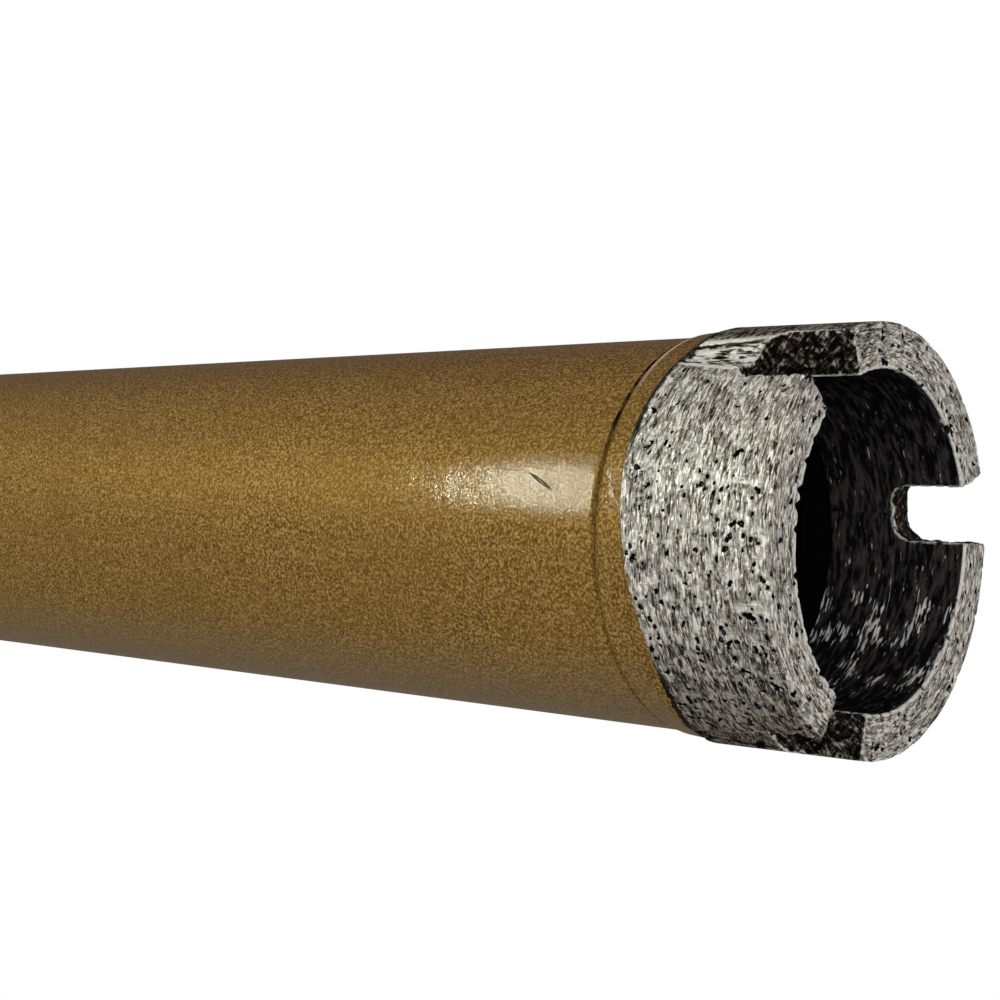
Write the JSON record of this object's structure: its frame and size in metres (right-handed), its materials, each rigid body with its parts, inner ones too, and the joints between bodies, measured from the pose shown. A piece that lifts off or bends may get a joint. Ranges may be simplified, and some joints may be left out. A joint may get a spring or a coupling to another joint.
{
  "type": "diamond core bit",
  "caption": "Thin-wall diamond core bit: slotted sintered crown brazed to a long painted steel tube, with a threaded hub for a coring machine's spindle.",
  "frame": {"origin": "centre of the hub's end face, on which the bit stands", "axes": "+Z along the bit's axis, from the hub to the cutting face; the spanner flats face +Y and -Y"},
  "size_m": [0.032, 0.032, 0.37],
  "materials": {
    "crown_matrix": "sintered metal bond, dressed, with pits and scratches",
    "bronze_paint": "metallic bronze-gold spray paint",
    "braze_filler": "oxidised brazing filler",
    "turned_steel": "turned steel, lightly oiled"
  },
  "bodies": {
    "root": {"diamond_crown": "crown_matrix", "crown_carrier": "bronze_paint", "braze_ring": "braze_filler", "barrel_tube": "bronze_paint", "spindle_hub": "turned_steel", "hub_weld": "bronze_paint"}
  },
  "joints": []
}
